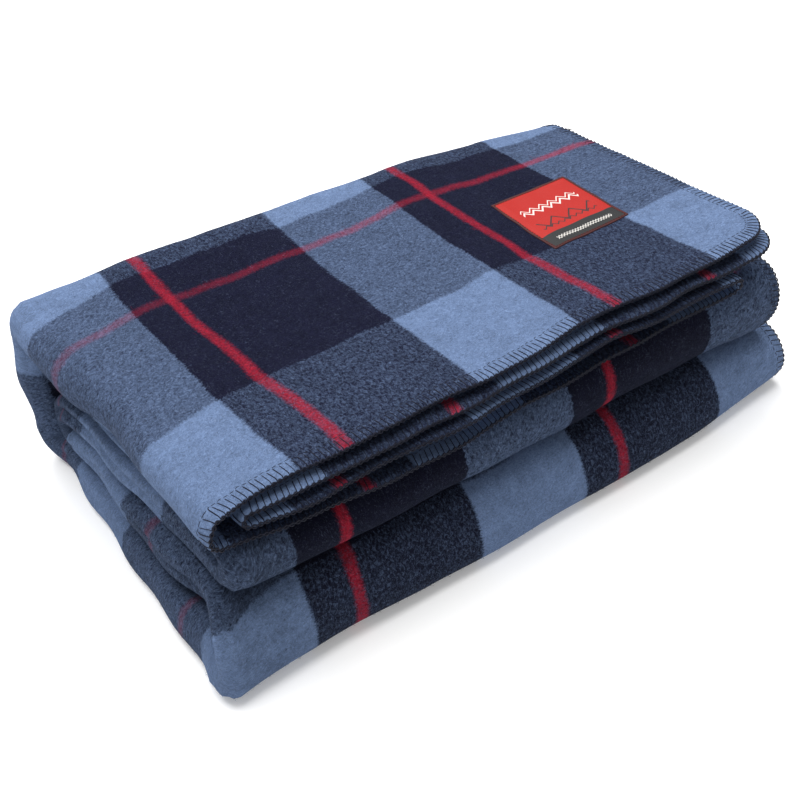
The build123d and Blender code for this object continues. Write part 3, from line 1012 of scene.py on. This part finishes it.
def label_material():
    """Woven satin label: red field, black strip along its front side, thin dark border,
    and plain woven ornament in place of any wording."""
    m, shader = new_material("woven_label")
    w = Wires(m)
    flat, u, v = w.split("label")
    red, black, pale = srgb(162, 18, 6), srgb(30, 31, 33), srgb(214, 210, 204)
    strip = w.sub(1.0, w.step(v, 0.235, 0.006))
    across = w.math("ABSOLUTE", w.sub(u, 0.5))
    up = w.math("ABSOLUTE", w.sub(v, 0.5))
    border = w.step(w.math("MAXIMUM", across, up), 0.474, 0.004)

    def zigzag(period, low, height):
        """Height of a zigzag line at u."""
        t = w.math("PINGPONG", u, period / 2)
        return w.math("MULTIPLY_ADD", t, height / (period / 2), low)

    def line(at, width):
        d = w.math("ABSOLUTE", w.sub(v, at))
        return w.sub(1.0, w.step(d, width, 0.004))

    inside = w.sub(1.0, w.step(across, 0.36, 0.004))
    chevrons = w.mul(w.math("MAXIMUM", line(zigzag(0.12, 0.60, 0.07), 0.013),
                            line(zigzag(0.12, 0.655, 0.07), 0.008)), inside)
    ridge = w.mul(line(zigzag(0.24, 0.33, 0.14), 0.012), inside)
    ridge2 = w.mul(line(zigzag(0.08, 0.31, 0.04), 0.008), inside)
    diamonds = w.mul(w.math("MAXIMUM", line(zigzag(0.07, 0.095, 0.05), 0.006),
                            line(zigzag(0.07, 0.145, -0.05), 0.006)), inside)
    colour = w.mix(strip, red, black)
    colour = w.mix(w.math("MAXIMUM", ridge, ridge2), colour, black)
    colour = w.mix(w.math("MAXIMUM", chevrons, diamonds), colour, pale)
    colour = w.mix(border, colour, srgb(66, 22, 22))
    # fine rib of the satin weave
    weave = w.add(w.mul(w.wave(flat, "Y", 34.0, 0.4), 0.6), w.mul(w.wave(flat, "X", 46.0), 0.4))
    grain = w.noise(flat, 60.0, 3.0)
    tone = w.node("ShaderNodeHueSaturation")
    w.plug(tone.inputs["Color"], colour)
    shade = w.add(w.mul(weave, 0.26), w.mul(grain, 0.22))
    w.plug(tone.inputs["Value"], w.add(0.72, shade))
    w.plug(shader.inputs["Base Color"], tone.outputs[0])
    shader.inputs["Roughness"].default_value = 0.55
    shader.inputs["Specular IOR Level"].default_value = 0.3
    shader.inputs["Sheen Weight"].default_value = 0.03
    w.bump(shader, w.add(weave, w.mul(chevrons, 0.6)), 0.4, 0.3 * MM)
    return m


label_piece.data.materials.append(label_material())
label_sewing.data.materials.append(thread_material("label_sewing_thread", srgb(120, 30, 26), 0.3))


# --------------------------------------------------------------------------- camera
camera_data = bpy.data.cameras.new("camera")
camera = bpy.data.objects.new("camera", camera_data)
bpy.context.scene.collection.objects.link(camera)
camera.location = (-0.5183, -0.6576, 0.7692)
look = Vector((0.44742, 0.59570, -0.66705))
camera.rotation_mode = "QUATERNION"
camera.rotation_quaternion = look.to_track_quat("-Z", "Y")
camera_data.sensor_width = 36.0
camera_data.lens = 63.0
camera_data.clip_start = 0.01
camera_data.clip_end = 50.0
bpy.context.scene.camera = camera

# ------------------------------------------------------------------- floor and light
floor_mesh = bpy.data.meshes.new("floor")
floor_mesh.from_pydata([(-6, -6, 0), (6, -6, 0), (6, 6, 0), (-6, 6, 0)], [], [(0, 1, 2, 3)])
floor = bpy.data.objects.new("floor", floor_mesh)
bpy.context.scene.collection.objects.link(floor)
floor_material, floor_shader = new_material("floor")
floor_shader.inputs["Base Color"].default_value = (0.86, 0.86, 0.86, 1.0)
floor_shader.inputs["Emission Color"].default_value = (1.0, 1.0, 1.0, 1.0)
floor_shader.inputs["Emission Strength"].default_value = 0.20
floor_shader.inputs["Roughness"].default_value = 0.9
floor_shader.inputs["Specular IOR Level"].default_value = 0.1
floor.data.materials.append(floor_material)

world = bpy.data.worlds.new("studio")
bpy.context.scene.world = world
world.use_nodes = True
world.node_tree.nodes["Background"].inputs[0].default_value = (1.0, 1.0, 1.0, 1.0)
world.node_tree.nodes["Background"].inputs[1].default_value = 0.48

key_data = bpy.data.lights.new("key", "AREA")
key_data.shape = "SQUARE"
key_data.size = 2.5
key_data.energy = 108.0
key = bpy.data.objects.new("key", key_data)
key.location = (-0.12, 0.62, 2.3)
key.rotation_mode = "QUATERNION"
key.rotation_quaternion = (Vector((0, 0, 0.1)) - key.location).to_track_quat("-Z", "Y")
bpy.context.scene.collection.objects.link(key)
bpy.context.scene.view_settings.view_transform = "Standard"


def place_piece(o, body, nodes):
    """o rides on body, except the back-turn pieces ("high", "low"), which stay fixed with their transform
    baked in; o stands for these CAD nodes, which are hidden.
    """
    if body == "high":
        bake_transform(o)
    elif body == "low":
        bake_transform(o)
    else:
        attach(o, body)
    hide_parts(*nodes)


place_piece(cloth_top, "top_flap", ["cloth_top_panel"])
place_piece(cloth_high, "high", ["cloth_back_turn"])
place_piece(cloth_low, "low", ["cloth_back_turn"])
place_piece(cloth_stack, "folded_stack", ["cloth_lower_folds"])
place_piece(front_hem, "top_flap", ["thread_front_edge"])
place_piece(far_hem, "folded_stack", ["thread_far_edge"])
for side in ("first", "second"):
    for part, body, node in (("top", "top_flap", "top"), ("high", "high", "back"), ("low", "low", "back"),
                             ("stack", "folded_stack", "lower")):
        place_piece(side_hems[side, part], body, [f"thread_{side}_{node}"])
place_piece(label_piece, "top_flap", ["label"])
place_piece(label_sewing, "top_flap", ["label_thread"])
